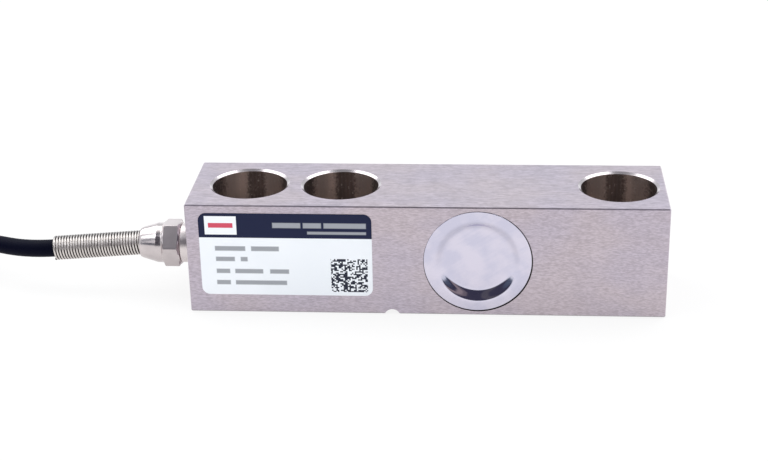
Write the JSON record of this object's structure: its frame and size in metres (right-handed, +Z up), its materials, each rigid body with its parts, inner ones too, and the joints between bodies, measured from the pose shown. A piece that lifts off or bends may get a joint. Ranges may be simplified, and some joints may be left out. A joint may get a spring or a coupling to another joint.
{
  "type": "cantilever beam load cell",
  "caption": "Square-bar shear-beam load cell with counterbored bolt holes, a dished cover over its gauge pocket, a plain rating label and a gland whose spring guards the cable.",
  "frame": {"origin": "middle of the bar's underside", "axes": "+X along the bar from the cable end to the load end, +Z up, the labelled face towards -Y"},
  "size_m": [0.371, 0.047, 0.0318],
  "materials": {
    "bar_steel": "brushed, nickel plated",
    "cover_steel": "bright pressed sheet",
    "gland_nickel": "nickel-plated brass",
    "spring_steel": "drawn wire",
    "label_film": "printed film",
    "cable_sheath": "smooth sheath",
    "tie_nylon": "moulded",
    "sleeve_shrink": "shrunk sleeve",
    "seal_rubber": "moulded",
    "gauge_film": "etched foil on film",
    "board_laminate": "solder mask",
    "chip_ceramic": "ceramic",
    "lead_copper": "tinned copper ribbon",
    "core_red": "insulation",
    "core_black": "insulation",
    "core_green": "insulation",
    "core_white": "insulation",
    "shield_braid": "tinned braid, twisted"
  },
  "bodies": {
    "root": {"beam_body": "bar_steel", "channel_plug": "bar_steel", "front_cover": "cover_steel", "rear_cover": "cover_steel", "front_gauge": "gauge_film", "rear_gauge": "gauge_film", "terminal_board": "board_laminate", "trim_resistors": "chip_ceramic", "gauge_jumpers_rear": "lead_copper", "gauge_jumpers_front": "lead_copper", "gland_gasket": "seal_rubber", "gland_seal": "seal_rubber", "gland_body": "gland_nickel", "gland_nut": "gland_nickel", "strain_relief_spring": "spring_steel", "rating_label": "label_film", "cable_lead": "cable_sheath", "cable_hank": "cable_sheath", "hank_tie_front": "tie_nylon", "hank_tie_rear": "tie_nylon", "cable_end_sleeve": "sleeve_shrink", "wire_red": "core_red", "wire_black": "core_black", "wire_green": "core_green", "wire_white": "core_white", "tail_red": "core_red", "tail_black": "core_black", "tail_green": "core_green", "tail_white": "core_white", "tail_shield": "shield_braid"}
  },
  "joints": []
}
